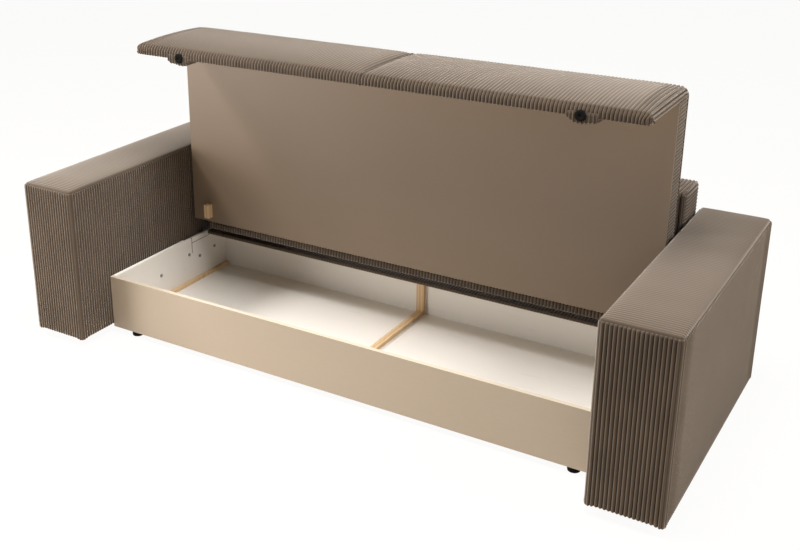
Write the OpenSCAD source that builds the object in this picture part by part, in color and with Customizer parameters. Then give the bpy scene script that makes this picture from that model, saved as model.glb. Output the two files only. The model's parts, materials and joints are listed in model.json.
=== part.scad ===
// Storage sofa with a lift up seat, shown with the seat raised as in the photograph.
// Millimetres. X runs along the sofa, Y from front to rear, Z up from the floor.
// The origin is on the floor, under the middle of the two arms.

/* [Arms] */
// Clear width between the two arms
inner_w = 1960; // [1500:10:2300]
// Width of one arm
arm_w = 234; // [180:2:300]
// Depth of an arm from front to rear
arm_d = 1028; // [980:4:1100]
// Height of an arm without its feet
arm_h = 594; // [520:2:680]
// Height of the feet under the arms
arm_foot_h = 28; // [20:1:45]
// Thickness of the padded cloth round an arm
arm_skin = 12; // [8:1:18]
// Radius of the upright edges of an arm
arm_edge_r = 12; // [6:1:18]
// Thickness of the padded top of an arm
arm_top_t = 14; // [12:1:24]
// Radius of the edge round the top of an arm
arm_top_r = 8; // [4:1:11]
// Thickness of the boards inside an arm
arm_board_t = 16; // [12:1:22]
// Height of the rails under the boards of an arm
arm_rail_h = 40; // [25:1:60]

/* [Storage box] */
// Depth of the box from its front face to its rear face
box_d = 709; // [640:1:730]
// Height of the box panels
box_h = 210; // [170:2:240]
// Height of the feet under the box
box_foot_h = 23; // [18:1:40]
// Thickness of the front and side panels
panel_t = 16; // [14:1:20]
// Thickness of the rear panel
rear_panel_t = 12; // [9:1:16]
// Thickness of the floor boards
floor_t = 15; // [8:1:18]
// Width of the battens along the side panels
side_batten_w = 14; // [10:1:24]
// Width of the batten along the middle of the floor
center_batten_w = 26; // [16:1:30]
// Height of the battens on the floor
batten_h = 14; // [12:1:24]
// Width of the upright batten on the rear panel
upright_w = 32; // [22:1:44]
// Thickness of the upright batten
upright_t = 14; // [10:1:20]
// Height of the rail let into the rear top of each side panel
side_rail_h = 22; // [14:1:30]
// Depth of the shelf along the top of the rear panel
shelf_d = 122; // [90:1:130]
// Thickness of the shelf board
shelf_t = 12; // [9:1:16]
// Thickness of the cloth on the shelf
shelf_skin = 3; // [2:0.5:4]

/* [Backrest] */
// Height of the top of the backrest above the floor
back_top_z = 712; // [660:2:800]
// Thickness of the backrest from front to rear
back_t = 174; // [150:2:190]
// How far the box reaches under the front pad of the backrest
box_under = 27; // [0:1:32]
// Distance from the rear of the backrest to the rear of the arms
back_inset = 2; // [0:1:10]
// Thickness of the front pad of the backrest
back_pad_t = 50; // [40:1:62]
// Thickness of the pad along the top of the backrest
back_top_pad_t = 26; // [18:1:34]
// Thickness of the cloth on the ends and on the rear
cloth_t = 4; // [3:0.5:6]
// Height of the underside of the backrest above the floor
back_bottom_z = 34; // [20:1:60]
// Radius of the front top edge of the backrest
back_edge_r = 16; // [12:1:24]
// How far the front pad bulges between its edges
back_crown = 3; // [1:0.5:4]
// Thickness of the upright boards inside the backrest
rib_t = 18; // [14:1:22]
// Height of the rails inside the backrest
back_rail_h = 38; // [28:1:50]
// Thickness of those rails
back_rail_t = 20; // [15:1:24]
// Number of upright boards inside the backrest
rib_count = 5; // [4:1:7]

/* [Seat] */
// Distance from the front of the box to the outer face of the apron, seat down
apron_reach = 138; // [125:1:150]
// Gap between the seat and the backrest, seat down
crease_gap = 7; // [5:1:12]
// Gap between the seat and each arm
side_gap = 12; // [11:0.5:20]
// Height of the seat board over the top of the box, seat down
seat_rise = 64; // [50:1:76]
// Thickness of the board under the seat
seat_board_t = 4; // [3:0.5:6]
// Height of the timber frame of the seat
seat_frame_h = 36; // [28:1:50]
// Thickness of the seat pad at its edge
seat_pad_t = 61; // [50:1:76]
// How far the middle of the seat pad rises over its edge
seat_crown = 13; // [6:1:20]
// Radius of the upper edges of the seat pad
seat_edge_r = 34; // [20:1:42]
// Radius where the two pads meet at the middle seam
seam_edge_r = 9; // [5:1:14]
// Width of the sewn band on the middle seam
seam_w = 8; // [6:1:12]
// Width of the front and rear rails of the frame
seat_rail_w = 28; // [22:1:36]
// Width of the end and cross battens of the frame
seat_batten_w = 22; // [18:1:30]
// Number of cross battens between the ends
cross_count = 3; // [2:1:5]
// Depth of the notch in each rear corner of the frame
notch_d = 28; // [20:1:34]
// Width of that notch
notch_w = 75; // [60:1:90]

/* [Apron] */
// Thickness of the apron board
apron_board_t = 16; // [12:1:20]
// Thickness of the pad on the front of the apron
apron_pad_t = 18; // [12:1:24]
// Radius of the lower edge of the apron
apron_edge_r = 12; // [6:1:16]
// Height of the feet under the apron
apron_foot_h = 8; // [6:1:14]
// Diameter of the feet under the apron
apron_foot_dia = 36; // [26:1:44]
// Distance from the middle of the sofa to each apron foot
apron_foot_x = 760; // [500:4:820]
// Distance from the face of the apron to the middle of its feet
apron_foot_in = 33; // [24:1:40]
// Width of the covered block behind each foot
foot_block_w = 104; // [60:1:120]
// Depth of that block behind the apron
foot_block_d = 26; // [20:1:36]
// Height of that block
foot_block_h = 62; // [40:1:90]

/* [Seat hinges] */
// Height of the hinge pin over the seat board
pivot_up = 78; // [72:1:86]
// Distance from the hinge pin to the rear end of the seat
pivot_in = 91; // [84:1:96]
// Radius of the hinge pin
pin_r = 6; // [4:0.5:8]
// Radius of the round end of each hinge plate
plate_eye_r = 20; // [16:1:24]
// Thickness of a hinge plate
plate_t = 2.8; // [2:0.1:3]
// Length of the seat plate in front of the pin
seat_plate_l = 210; // [160:2:260]

/* [Feet] */
// Diameter of the feet under the arms and the box
foot_dia = 42; // [30:1:56]
// Distance from the ends of an arm to the middle of its feet
arm_foot_in = 80; // [60:2:140]
// Distance from the ends of the box to the middle of its feet
box_foot_in = 96; // [50:2:140]
// Distance from the front of the box to the middle of its front feet
box_foot_back = 28; // [24:1:60]

/* [Springs and webbing] */
// Wire of the seat springs
wire_t = 3.4; // [2.6:0.2:4]
// Number of seat springs in each half
spring_count = 4; // [3:1:6]
// Width of one seat spring
spring_w = 52; // [40:2:64]
// Number of bends in one seat spring
bend_count = 12; // [8:2:16]
// Width of the elastic straps of the backrest
strap_w = 50; // [30:2:60]
// Number of straps in the backrest
strap_count = 8; // [6:1:12]

/* [Hidden] */
// Angle by which the seat is raised in this model
lift_angle = 90;
// Overrun of every cut
cut = 1;
// Gap between soft pieces and what they lie against
soft_gap = 0.3;
// Running gap between the parts of a hinge
run_gap = 0.25;
// Running clearance of the pin in the seat plate
pin_clear = 0.05;
// Gap between the box and the arms it is bolted to
box_gap = 0.3;
// Gap between the box and the backrest above it
back_gap = 6;
// Thin spacer washers and rivet heads of the hinges
washer_t = 1;
head_t = 1.8;
head_r = 11;
// Wood screws and bolts
screw_r = 2.5;
screw_l = 24;
screw_head_r = 4.6;
bolt_r = 4;
bolt_head_r = 6.5;
bolt_head_t = 3;
// Short timber blocks on the underside of the seat, near its rear corners
under_block_w = 24;
under_block_l = 57;
under_block_t = 24;
under_block_in = 70;
under_block_back = 49;
// Blocks that join the rear rail of the seat frame to its ends
corner_block_w = 102;
corner_block_d = 60;
// Blocks between the backrest and the arms
spacer_h = 120;
spacer_d = 60;
// Saw cut in each side panel, from its rail down to a bolt
saw_w = 1.2;
// Elastic webbing
strap_t = 1.2;
// Plate round the bolts of the base hinge plate
plate_edge = 16;
recess_gap = 0.4;
// Points along a rounded pad edge, and sections along a pad
round_steps = 4;
span_steps = 8;
// Share of the crown that is left a quarter of the way in from an edge
crown_power = 4;
// Share of its width by which a block narrows towards its free side
block_taper_share = 0.18;
// Places of the bolts on a side panel, as shares of its depth and its height
bolt_shares = [[0.374, 0.55], [0.638, 0.68], [0.737, 0.55], [0.884, 0.6]];
// Places of the screws along a seat hinge plate, as shares of its length
plate_screw_shares = [0.2, 0.5, 0.8];
// Where the side rail starts, as a share of the depth of a side panel
side_rail_share = 0.67;
$fn = 48;

arm_x = inner_w / 2;
arm_mid_x = arm_x + arm_w / 2;
arm_top_z = arm_foot_h + arm_h;
back_rear_y = arm_d / 2 - back_inset;
back_front_y = back_rear_y - back_t;
box_rear_y = back_front_y + box_under;
box_front_y = box_rear_y - box_d;
box_x = arm_x - box_gap;
box_in_x = box_x - panel_t;
box_in_front_y = box_front_y + panel_t;
box_in_rear_y = box_rear_y - rear_panel_t;
box_in_d = box_in_rear_y - box_in_front_y;
box_top_z = box_foot_h + box_h;
floor_z = box_foot_h + floor_t;
shelf_front_y = box_in_rear_y - shelf_d;
seat_x = arm_x - side_gap;
seat_rear_y = back_front_y - crease_gap;
seat_front_y = box_front_y - apron_reach;
seat_z = box_top_z + seat_rise;
frame_z = seat_z + seat_board_t;
pad_z = frame_z + seat_frame_h + wire_t + soft_gap;
seat_edge_z = pad_z + seat_pad_t;
apron_in_y = seat_front_y + apron_pad_t + apron_board_t;
apron_z = apron_foot_h;
pivot_y = seat_rear_y - pivot_in;
pivot_z = seat_z + pivot_up;
// Layers of a hinge, from the seat outwards
head_x = seat_x + soft_gap;
seat_plate_x = head_x + head_t + run_gap;
washer_x = seat_plate_x + plate_t + run_gap;
base_plate_x = washer_x + washer_t;
outer_head_x = base_plate_x + plate_t;
back_frame_front_y = back_front_y + back_pad_t + strap_t;
back_frame_rear_y = back_rear_y - cloth_t;
back_pad_bottom_z = box_top_z + back_gap;
back_frame_top_z = back_top_z - back_top_pad_t - soft_gap;

cloth = "#8f8275";
cloth_dark = "#6f6358";
laminate = "#cdbb9e";
white_board = "#dcdad4";
pine = "#d6b184";
chipboard = "#c2a57a";
fibreboard = "#a8988a";
steel = "#4b4b4d";
black_plastic = "#17171a";

// A box given by its two ends along each axis
module block(x, y, z) {
    translate([x[0], y[0], z[0]]) cube([x[1] - x[0], y[1] - y[0], z[1] - z[0]]);
}

// The same piece on the left and on the right
module both_sides() {
    children();
    mirror([1, 0, 0]) children();
}

// Turns what is drawn with the seat down into the raised place
module raised() {
    translate([0, pivot_y, pivot_z]) rotate([-lift_angle, 0, 0])
        translate([0, -pivot_y, -pivot_z]) children();
}

// A rectangle about the origin with true round corners
module round_rect(w, d, r) {
    square([w - 2 * r, d], center = true);
    square([w, d - 2 * r], center = true);
    for (x = [-1, 1], y = [-1, 1])
        translate([x * (w / 2 - r), y * (d / 2 - r)]) circle(r);
}

// A cylinder along X from one place to another
module rod_x(x, y, z, r) {
    translate([x[0], y, z]) rotate([0, 90, 0]) cylinder(h = x[1] - x[0], r = r);
}

// A closed mesh through rings of points, each ring as long as the next
function ring_faces(rings, n) = concat(
    [for (i = [0 : rings - 2], j = [0 : n - 1]) let (k = (j + 1) % n, a = i * n)
        each [[a + j, a + n + j, a + k], [a + k, a + n + j, a + n + k]]],
    [for (j = [1 : n - 2]) [0, j, j + 1]],
    [for (j = [1 : n - 2]) let (a = (rings - 1) * n) [a, a + j + 1, a + j]]
);

// How much of the crown is left at a share of the way across, 0 at the edges and 1 in the middle
function crown_at(t) = 1 - pow(abs(2 * t - 1), crown_power);

// One section across a pad: flat below, with two round upper edges and a crowned top.
// The section spans l along the pad, is h high at its edges, and is drawn in by inset.
function pad_section(l, h, r, rise, inset) = let (e = max(r - inset, inset / r)) concat(
    [[inset, 0], [l - inset, 0]],
    [for (i = [0 : round_steps]) let (a = 90 * i / round_steps)
        [l - inset - e + e * cos(a), h - inset - e + e * sin(a)]],
    [for (i = [1 : span_steps - 1]) let (t = 1 - i / span_steps)
        [inset + e + t * (l - 2 * inset - 2 * e), h - inset + rise * crown_at(t)]],
    [for (i = [0 : round_steps]) let (a = 90 + 90 * i / round_steps)
        [inset + e + e * cos(a), h - inset - e + e * sin(a)]]
);

// Stations along a pad: where each section stands and how far it is drawn in.
// The first end has the small radius of a seam, the other the full edge radius.
function pad_stations(w, r0, r1) = concat(
    [for (i = [0 : round_steps]) let (a = 90 * i / round_steps)
        [r0 * (1 - cos(a)), r0 * (1 - sin(a))]],
    [for (i = [1 : span_steps - 1]) [r0 + i / span_steps * (w - r0 - r1), 0]],
    [for (i = [0 : round_steps]) let (a = 90 * i / round_steps)
        [w - r1 + r1 * sin(a), r1 * (1 - cos(a))]]
);

// A pad that runs along X from 0 to w, with its length l along Y and its height h along Z
module pad(w, l, h, r, r_seam, rise) {
    stations = pad_stations(w, r_seam, r);
    rings = [for (s = stations)
        pad_section(l, h, r, rise * crown_at(s[0] / w), s[1])];
    n = len(rings[0]);
    points = [for (i = [0 : len(stations) - 1]) each
        [for (p = rings[i]) [stations[i][0], p[0], p[1]]]];
    polyhedron(points, ring_faces(len(stations), n));
}

// Arms: a padded skin round a box of boards, on two rails and two feet
module arm_wrap() {
    color(cloth) translate([arm_mid_x, 0, arm_foot_h])
        linear_extrude(arm_h - arm_top_t) difference() {
            round_rect(arm_w, arm_d, arm_edge_r);
            square([arm_w - 2 * arm_skin, arm_d - 2 * arm_skin], center = true);
        }
}

module arm_top() {
    top_z = arm_top_z - arm_top_t;
    color(cloth) intersection() {
        translate([arm_mid_x, 0, top_z]) linear_extrude(arm_top_t)
            round_rect(arm_w, arm_d, arm_edge_r);
        translate([arm_mid_x, arm_d / 2, arm_top_z - arm_h / 2]) rotate([90, 0, 0])
            linear_extrude(arm_d) round_rect(arm_w, arm_h, arm_top_r);
        translate([arm_x, 0, arm_top_z - arm_h / 2]) rotate([90, 0, 90])
            linear_extrude(arm_w) round_rect(arm_d, arm_h, arm_top_r);
    }
}

arm_board_x0 = arm_x + arm_skin;
arm_board_x1 = arm_x + arm_w - arm_skin;
arm_board_y = arm_d / 2 - arm_skin;
arm_board_z0 = arm_foot_h + arm_rail_h;
arm_board_z1 = arm_top_z - arm_top_t - arm_board_t;

module arm_side_boards() {
    color(chipboard) for (x = [arm_board_x0, arm_board_x1 - arm_board_t])
        block([x, x + arm_board_t], [-arm_board_y, arm_board_y], [arm_board_z0, arm_board_z1]);
}

module arm_end_boards() {
    color(chipboard) for (y = [-arm_board_y, arm_board_y - arm_board_t])
        block([arm_board_x0 + arm_board_t, arm_board_x1 - arm_board_t], [y, y + arm_board_t],
            [arm_board_z0, arm_board_z1]);
}

module arm_top_board() {
    color(chipboard) block([arm_board_x0, arm_board_x1], [-arm_board_y, arm_board_y],
        [arm_board_z1, arm_board_z1 + arm_board_t]);
}

module arm_base_rails() {
    color(pine) both_sides() for (y = [-arm_board_y, arm_board_y - 2 * arm_foot_in])
        block([arm_board_x0, arm_board_x1], [y, y + 2 * arm_foot_in], [arm_foot_h, arm_board_z0]);
}

module arm_feet() {
    color(black_plastic) both_sides() for (y = [-1, 1])
        translate([arm_mid_x, y * (arm_d / 2 - arm_foot_in), 0])
            cylinder(h = arm_foot_h, d = foot_dia);
}

// Storage box: laminated panels with a white inside, open at the top
module box_front_panel() {
    color(laminate) block([-box_x, box_x], [box_front_y, box_in_front_y], [box_foot_h, box_top_z]);
}

module box_rear_panel() {
    color(white_board) block([-box_x, box_x], [box_in_rear_y, box_rear_y], [box_foot_h, box_top_z]);
}

function bolt_y(s) = box_in_front_y + s[0] * box_in_d;
function bolt_z(s) = box_foot_h + s[1] * box_h;

plate_rear_y = max(bolt_y(bolt_shares[3]), pivot_y) + plate_edge;
plate_front_y = bolt_y(bolt_shares[1]) - plate_edge;
plate_low_z = bolt_z(bolt_shares[2]) - plate_edge;
plate_high_z = bolt_z(bolt_shares[1]) + plate_edge;
recess_x = base_plate_x - recess_gap;
side_rail_y = box_in_front_y + side_rail_share * box_in_d;
side_rail_z = box_top_z - side_rail_h;

// Pocket in the outer face of a side panel for the base plate of the hinge
module hinge_pocket() {
    block([recess_x, box_x + cut],
        [plate_front_y - recess_gap, plate_rear_y + recess_gap + plate_eye_r],
        [plate_low_z - recess_gap, box_top_z + cut]);
}

module box_side_panel() {
    color(white_board) difference() {
        block([box_in_x, box_x], [box_in_front_y, box_in_rear_y], [box_foot_h, box_top_z]);
        block([box_in_x - cut, box_x + cut], [side_rail_y, box_in_rear_y + cut],
            [side_rail_z, box_top_z + cut]);
        block([box_in_x - cut, box_x + cut], [side_rail_y - saw_w, side_rail_y],
            [bolt_z(bolt_shares[1]), box_top_z + cut]);
        hinge_pocket();
        for (s = bolt_shares) rod_x([box_in_x - cut, box_x + cut], bolt_y(s), bolt_z(s), bolt_r);
    }
}

module box_side_rails() {
    color(white_board) both_sides() difference() {
        block([box_in_x, box_x], [side_rail_y, box_in_rear_y], [side_rail_z, box_top_z]);
        hinge_pocket();
    }
}

module box_floor() {
    color(white_board) block([0, box_in_x], [box_in_front_y, box_in_rear_y], [box_foot_h, floor_z]);
}

module floor_batten_side() {
    color(pine) block([box_in_x - side_batten_w, box_in_x], [box_in_front_y, box_in_rear_y],
        [floor_z, floor_z + batten_h]);
}

module floor_batten_center() {
    color(pine) block([-center_batten_w / 2, center_batten_w / 2],
        [box_in_front_y, box_in_rear_y - upright_t], [floor_z, floor_z + batten_h]);
}

shelf_z0 = box_top_z - shelf_t - shelf_skin;

module rear_upright_batten() {
    color(pine) block([-upright_w / 2, upright_w / 2], [box_in_rear_y - upright_t, box_in_rear_y],
        [floor_z, shelf_z0]);
}

module rear_shelf_board() {
    color(chipboard) block([-box_in_x, box_in_x], [shelf_front_y + shelf_skin, box_in_rear_y],
        [shelf_z0, shelf_z0 + shelf_t]);
}

module rear_shelf_cover() {
    color(cloth) difference() {
        block([-box_in_x, box_in_x], [shelf_front_y, box_in_rear_y], [shelf_z0, box_top_z]);
        block([-box_in_x - cut, box_in_x + cut], [shelf_front_y + shelf_skin, box_in_rear_y + cut],
            [shelf_z0 - cut, shelf_z0 + shelf_t]);
    }
}

module box_feet() {
    foot_x = box_x - box_foot_in;
    color(black_plastic) for (x = [-foot_x, foot_x],
        y = [box_front_y + box_foot_back, box_rear_y - box_foot_back])
        translate([x, y, 0]) cylinder(h = box_foot_h, d = foot_dia);
}

// Bolts through the side panels: the front one holds the arm, the others the hinge plate
module box_bolts() {
    color(steel) both_sides() for (i = [0 : len(bolt_shares) - 1]) let (s = bolt_shares[i]) {
        rod_x([box_in_x - bolt_head_t, box_in_x], bolt_y(s), bolt_z(s), bolt_head_r);
        rod_x([box_in_x - bolt_head_t, i == 0 ? box_x : base_plate_x + plate_t],
            bolt_y(s), bolt_z(s), bolt_r);
    }
}

// Backrest: boards and rails, straps over the front, pads and cloth round them
module backrest_ribs() {
    span = seat_x - cloth_t - rib_t / 2;
    color(chipboard) for (i = [0 : rib_count - 1]) let (x = span * (2 * i / (rib_count - 1) - 1))
        block([x - rib_t / 2, x + rib_t / 2],
            [back_frame_front_y + back_rail_t, back_frame_rear_y - back_rail_t],
            [back_bottom_z, back_frame_top_z]);
}

module backrest_rails() {
    rail_x = seat_x - cloth_t;
    color(pine) {
        for (y = [back_frame_front_y, back_frame_rear_y - back_rail_t],
            z = [back_bottom_z, back_frame_top_z - back_rail_h])
            block([-rail_x, rail_x], [y, y + back_rail_t], [z, z + back_rail_h]);
        block([-rail_x, rail_x], [back_frame_front_y, back_frame_front_y + back_rail_t],
            [back_pad_bottom_z, back_pad_bottom_z + back_rail_h]);
    }
}

module backrest_webbing() {
    span = 2 * (seat_x - cloth_t - strap_w);
    color(cloth_dark) for (i = [0 : strap_count - 1]) let (x = span * ((i + 1 / 2) / strap_count - 1 / 2))
        block([x - strap_w / 2, x + strap_w / 2],
            [back_frame_front_y - strap_t, back_frame_front_y],
            [back_pad_bottom_z, back_frame_top_z]);
}

module backrest_pad() {
    h = back_top_z - back_pad_bottom_z;
    color(cloth) translate([soft_gap, back_front_y + back_pad_t - soft_gap, back_pad_bottom_z])
        rotate([90, 0, 0]) pad(seat_x - soft_gap, h, back_pad_t - back_crown - soft_gap,
            back_edge_r, seam_edge_r, back_crown);
}

module backrest_top_pad() {
    rear_y = back_frame_rear_y;
    front_y = back_front_y + back_pad_t;
    r = back_edge_r / 2;
    color(cloth) translate([soft_gap, 0, 0]) rotate([90, 0, 90])
        linear_extrude(seat_x - soft_gap) {
            translate([front_y, back_top_z - back_top_pad_t])
                square([rear_y - front_y, back_top_pad_t - r]);
            translate([front_y, back_top_z - r]) square([rear_y - front_y - r, r]);
            translate([rear_y - r, back_top_z - r]) circle(r);
        }
}

module backrest_end_cover() {
    color(cloth) block([seat_x - cloth_t, seat_x], [back_frame_front_y, back_frame_rear_y],
        [back_bottom_z, back_frame_top_z]);
}

module backrest_rear_cover() {
    color(cloth) block([-seat_x, seat_x], [back_frame_rear_y, back_rear_y],
        [back_bottom_z, back_top_z - back_edge_r / 2]);
}

module backrest_spacers() {
    color(pine) both_sides() for (z = [back_bottom_z, arm_top_z - 2 * spacer_h])
        block([seat_x, arm_x], [back_frame_front_y + back_rail_t,
            back_frame_front_y + back_rail_t + spacer_d], [z, z + spacer_h]);
}

// Hinges: a plate in each side panel, a plate on each end of the seat, and a riveted pin
module hinge_base_plate() {
    x = [base_plate_x, base_plate_x + plate_t];
    color(steel) difference() {
        union() {
            block(x, [plate_front_y, plate_rear_y], [plate_low_z, plate_high_z]);
            block(x, [pivot_y - plate_eye_r, pivot_y + plate_eye_r], [plate_low_z, pivot_z]);
            rod_x(x, pivot_y, pivot_z, plate_eye_r);
        }
        rod_x([x[0] - cut, x[1] + cut], pivot_y, pivot_z, pin_r);
        for (i = [1 : len(bolt_shares) - 1]) let (s = bolt_shares[i])
            rod_x([x[0] - cut, x[1] + cut], bolt_y(s), bolt_z(s), bolt_r);
    }
}

module hinge_washers() {
    color(steel) both_sides() difference() {
        rod_x([washer_x, base_plate_x], pivot_y, pivot_z, plate_eye_r - run_gap);
        rod_x([washer_x - cut, base_plate_x + cut], pivot_y, pivot_z, pin_r);
    }
}

module hinge_pins() {
    color(steel) both_sides() {
        rod_x([head_x, outer_head_x + head_t], pivot_y, pivot_z, pin_r);
        rod_x([head_x, head_x + head_t], pivot_y, pivot_z, head_r);
        rod_x([outer_head_x, outer_head_x + head_t], pivot_y, pivot_z, head_r);
    }
}

function plate_screw_y(s) = pivot_y - s * seat_plate_l;
plate_strap_z = frame_z + seat_frame_h / 2;

module hinge_seat_plates() {
    x = [seat_plate_x, seat_plate_x + plate_t];
    half = seat_frame_h / 2 - plate_t / 2;
    color(steel) raised() both_sides() difference() {
        union() {
            block(x, [pivot_y - seat_plate_l, pivot_y + plate_eye_r],
                [plate_strap_z - half, plate_strap_z + half]);
            block(x, [pivot_y - plate_eye_r, pivot_y + plate_eye_r], [plate_strap_z, pivot_z]);
            rod_x(x, pivot_y, pivot_z, plate_eye_r);
            for (s = plate_screw_shares)
                rod_x([seat_x, x[1]], plate_screw_y(s), plate_strap_z, screw_head_r * 2);
        }
        rod_x([x[0] - cut, x[1] + cut], pivot_y, pivot_z, pin_r + pin_clear);
        for (s = plate_screw_shares)
            rod_x([seat_x - cut, x[1] + cut], plate_screw_y(s), plate_strap_z, screw_r);
    }
}

module screw_holes() {
    both_sides() for (s = plate_screw_shares)
        rod_x([seat_x - screw_l, seat_x + cut], plate_screw_y(s), plate_strap_z, screw_r);
}

module hinge_screws() {
    x = seat_plate_x + plate_t;
    color(steel) raised() both_sides() for (s = plate_screw_shares) {
        rod_x([seat_x - screw_l, x], plate_screw_y(s), plate_strap_z, screw_r);
        rod_x([x, x + washer_t], plate_screw_y(s), plate_strap_z, screw_head_r);
    }
}

// Seat: a board below, a frame with springs, a ribbed border and two pads above
module seat_board() {
    color(fibreboard) raised()
        block([-seat_x, seat_x], [apron_in_y, notch_y], [seat_z, frame_z]);
}

rear_rail_y = seat_rear_y - cloth_t - seat_rail_w;

module seat_frame_rails() {
    color(pine) raised() {
        block([-seat_x + cloth_t, seat_x - cloth_t], [apron_in_y, apron_in_y + seat_rail_w],
            [frame_z, frame_z + seat_frame_h]);
        block([-seat_x + notch_w + cloth_t, seat_x - notch_w - cloth_t],
            [rear_rail_y, rear_rail_y + seat_rail_w], [frame_z, frame_z + seat_frame_h]);
    }
}

module seat_frame_battens() {
    z = [frame_z, frame_z + seat_frame_h];
    front_y = apron_in_y + seat_rail_w;
    inner = seat_x - cloth_t - seat_batten_w;
    color(pine) raised() difference() {
        union() {
            both_sides() block([inner, seat_x - cloth_t],
                [front_y, notch_y - cloth_t], z);
            for (i = [1 : cross_count]) let (x = inner * (2 * i / (cross_count + 1) - 1))
                block([x - seat_batten_w / 2, x + seat_batten_w / 2], [front_y, rear_rail_y], z);
        }
        screw_holes();
    }
}

module seat_corner_blocks() {
    x = seat_x - cloth_t - seat_batten_w;
    y = notch_y - cloth_t;
    color(pine) raised() both_sides() block([x - corner_block_w, x], [y - corner_block_d, y],
        [frame_z, frame_z + seat_frame_h]);
}

// One flat wave spring in the plane of the frame top, from the front rail to the rear rail
module wave_spring(y0, y1) {
    pitch = (y1 - y0) / bend_count;
    r = pitch / 2;
    arm = spring_w / 2 - r;
    for (i = [0 : bend_count - 1]) translate([(i % 2 == 0 ? 1 : -1) * arm, y0 + (i + 1 / 2) * pitch])
        difference() {
            circle(r + wire_t / 2);
            circle(r - wire_t / 2);
            translate([i % 2 == 0 ? -spring_w : 0, -spring_w / 2]) square([spring_w, spring_w]);
        }
    for (i = [0 : bend_count]) translate([-arm, y0 + i * pitch - wire_t / 2])
        square([2 * arm, wire_t]);
}

module seat_springs() {
    y0 = apron_in_y + seat_rail_w / 2;
    y1 = rear_rail_y + seat_rail_w / 2;
    half = seat_x - cloth_t - seat_batten_w;
    color(steel) raised() both_sides() for (i = [0 : spring_count - 1])
        translate([half * (i + 1 / 2) / spring_count, 0, frame_z + seat_frame_h])
            linear_extrude(wire_t) wave_spring(y0, y1);
}

notch_y = seat_rear_y - notch_d;
border_z = [frame_z, frame_z + seat_frame_h + wire_t];

module seat_end_bands() {
    color(cloth) raised() difference() {
        both_sides() block([seat_x - cloth_t, seat_x], [apron_in_y, notch_y], border_z);
        screw_holes();
    }
}

// Cloth over the rear end of the frame, stepped at the two corners
module seat_rear_band() {
    x = seat_x - notch_w;
    color(cloth) raised() {
        both_sides() {
            block([x - cloth_t, seat_x - cloth_t], [notch_y - cloth_t, notch_y], border_z);
            block([x - cloth_t, x], [notch_y, seat_rear_y - cloth_t], border_z);
        }
        block([-x, x], [seat_rear_y - cloth_t, seat_rear_y], border_z);
        block([-x, x], [notch_y, seat_rear_y], [seat_z, frame_z]);
    }
}

module seat_pad() {
    color(cloth) translate([seam_w / 2, seat_front_y, pad_z])
        pad(seat_x - seam_w / 2, seat_rear_y - seat_front_y, seat_pad_t, seat_edge_r, seam_edge_r,
            seat_crown);
}

// Narrow sewn band that follows the seam over the apron and the seat
module seat_seam_band() {
    l = seat_rear_y - seat_front_y;
    band = seam_edge_r / 2;
    color(cloth_dark) raised() translate([-seam_w / 2 + soft_gap, 0, 0]) rotate([90, 0, 90])
        linear_extrude(seam_w - 2 * soft_gap) difference() {
            union() {
                translate([seat_front_y + band, pad_z]) square([l - 2 * band, seat_pad_t - band]);
                translate([seat_front_y + band, apron_z + band])
                    square([apron_pad_t - band, pad_z - apron_z - band + soft_gap]);
            }
            translate([seat_rear_y - band - seat_edge_r, seat_edge_z - band - seat_edge_r])
                difference() {
                    square(2 * seat_edge_r);
                    circle(seat_edge_r);
                }
            translate([seat_front_y + band + seat_edge_r, seat_edge_z - band - seat_edge_r])
                mirror([1, 0]) difference() {
                    square(2 * seat_edge_r);
                    circle(seat_edge_r);
                }
        }
}

// Apron: a board with a pad, which hangs in front of the box and stands on two feet
module apron_board() {
    color(chipboard) raised() block([-seat_x + cloth_t, seat_x - cloth_t],
        [apron_in_y - apron_board_t, apron_in_y], [apron_z + cloth_t, pad_z - soft_gap]);
}

module apron_pad() {
    y0 = seat_front_y;
    r = apron_edge_r;
    color(cloth) translate([seam_w / 2, 0, 0]) rotate([90, 0, 90])
        linear_extrude(seat_x - seam_w / 2) {
            translate([y0, apron_z + r]) square([apron_pad_t, pad_z - soft_gap - apron_z - r]);
            translate([y0 + r, apron_z + r]) intersection() {
                circle(r);
                translate([-r, -r]) square(r);
            }
            translate([y0 + r, apron_z]) square([apron_in_y - y0 - r, cloth_t]);
            translate([y0 + r, apron_z]) square([apron_pad_t - r, r]);
        }
}

foot_block_z = apron_z;
apron_foot_y = seat_front_y + apron_foot_in;

module apron_foot_blocks() {
    taper = block_taper_share * foot_block_w;
    color(cloth) raised() both_sides() translate([apron_foot_x, apron_in_y, foot_block_z])
        linear_extrude(foot_block_h) polygon([
            [-foot_block_w / 2, 0], [foot_block_w / 2, 0],
            [foot_block_w / 2 - taper / 2, foot_block_d], [-foot_block_w / 2 + taper, foot_block_d]
        ]);
}

module apron_feet() {
    color(black_plastic) raised() both_sides() translate([apron_foot_x, apron_foot_y, soft_gap])
        cylinder(h = apron_foot_h - soft_gap, d = apron_foot_dia);
}

module seat_under_blocks() {
    x = seat_x - under_block_in;
    y = seat_rear_y - under_block_back;
    color(pine) raised() both_sides() block([x - under_block_w, x], [y - under_block_l, y],
        [seat_z - under_block_t, seat_z]);
}

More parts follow.
